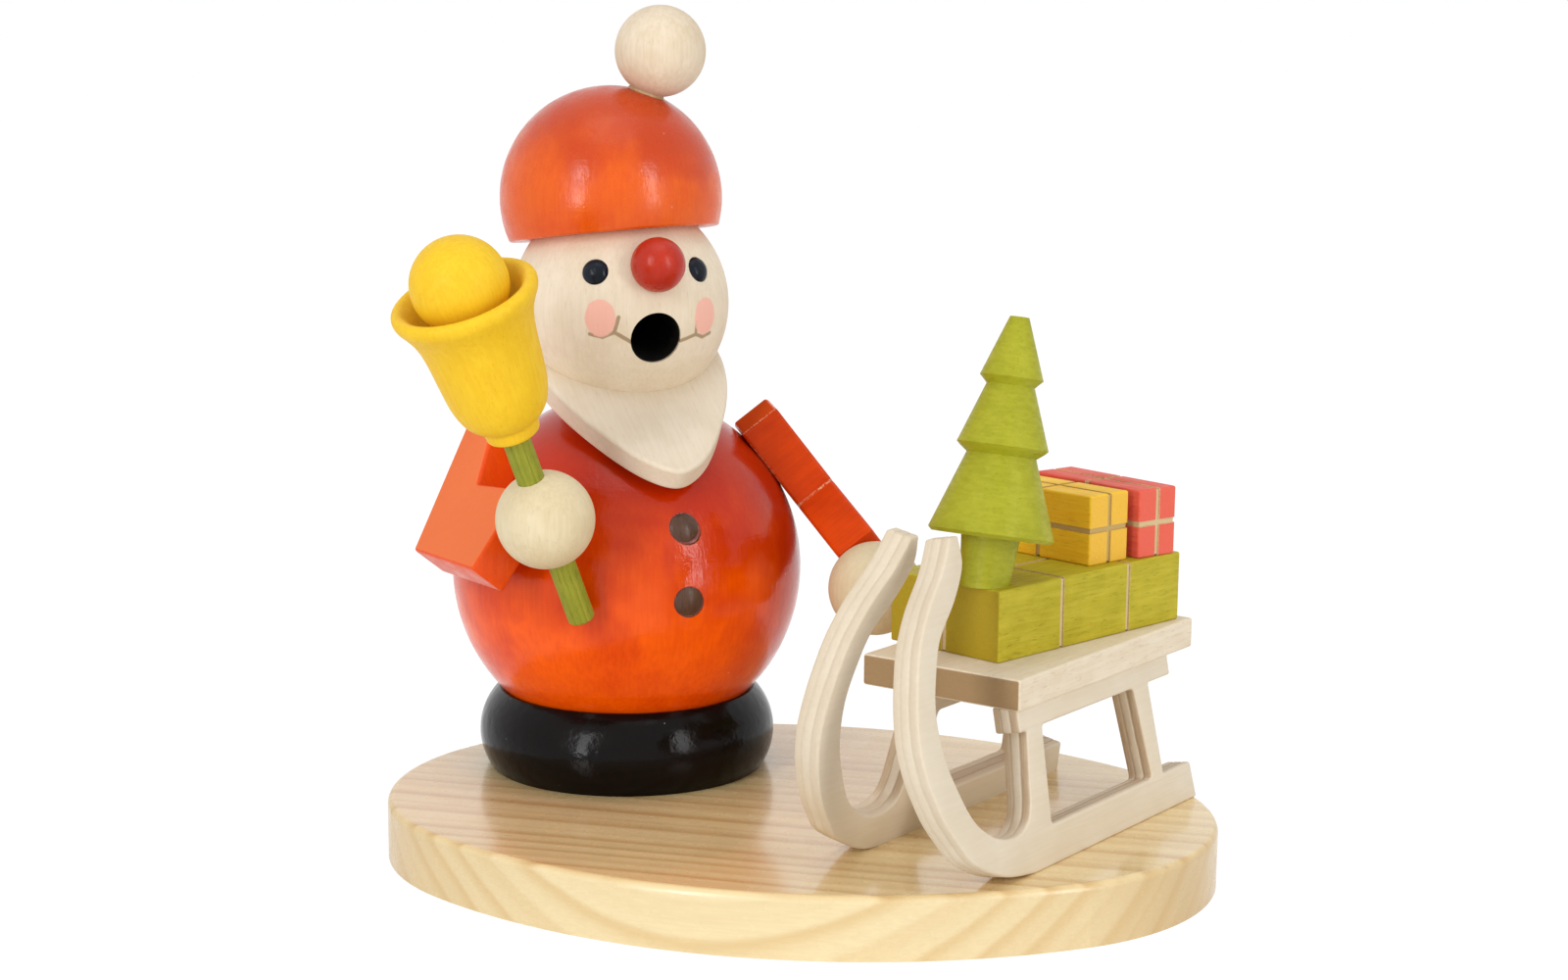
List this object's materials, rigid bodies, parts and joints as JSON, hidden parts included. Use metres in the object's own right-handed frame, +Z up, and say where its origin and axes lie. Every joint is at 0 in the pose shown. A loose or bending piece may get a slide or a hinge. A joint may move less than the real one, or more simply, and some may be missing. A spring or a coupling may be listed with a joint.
{
  "type": "incense smoker figure",
  "caption": "Turned wooden incense smoker: bearded gift bringer with bell, cap and open mouth beside a horn sledge with parcels and tree, on an oval board.",
  "frame": {"origin": "middle of the bounding box, on the board's underside", "axes": "+Z up, +X along the board's long side towards the sledge, +Y to the back"},
  "size_m": [0.143, 0.104, 0.1449],
  "materials": {
    "pine": "satin lacquer",
    "black_wood": "gloss lacquer",
    "beech": "raw, sanded",
    "brass_sheet": "pressed",
    "steel": "plain",
    "red_wood": "stained, satin lacquer",
    "nose_red": "stained, satin lacquer",
    "black_gloss": "gloss lacquer",
    "brown_wood": "stained",
    "yellow_wood": "stained, matt",
    "green_wood": "stained, matt",
    "olive_wood": "stained, matt",
    "parcel_red_wood": "stained, matt",
    "pale_wood": "raw, sanded"
  },
  "bodies": {
    "stand": {"base_board": "pine", "foot": "black_wood", "foot_dowel": "beech", "incense_dish": "brass_sheet", "dish_nail": "steel", "sled_side_left": "pale_wood", "sled_side_right": "pale_wood", "sled_seat": "pale_wood", "parcel_green": "olive_wood", "parcel_yellow": "yellow_wood", "parcel_red": "parcel_red_wood", "tree": "green_wood", "tree_peg": "beech"},
    "figure": {"beard": "beech", "bell": "yellow_wood", "bell_clapper": "yellow_wood", "bell_stick": "green_wood", "button_lower": "brown_wood", "button_upper": "brown_wood", "cap": "red_wood", "eye_left": "black_gloss", "eye_right": "black_gloss", "forearm_left": "red_wood", "forearm_right": "red_wood", "hand_left": "beech", "hand_right": "beech", "head": "beech", "nose": "nose_red", "pompom": "beech", "pompom_peg": "beech", "torso": "red_wood", "upper_arm_left": "red_wood", "upper_arm_right": "red_wood"}
  },
  "joints": [
    {"name": "figure_lift", "type": "slide", "parent": "stand", "child": "figure", "axis": [0, 0, 1], "range_m": [0, 0.045]}
  ]
}
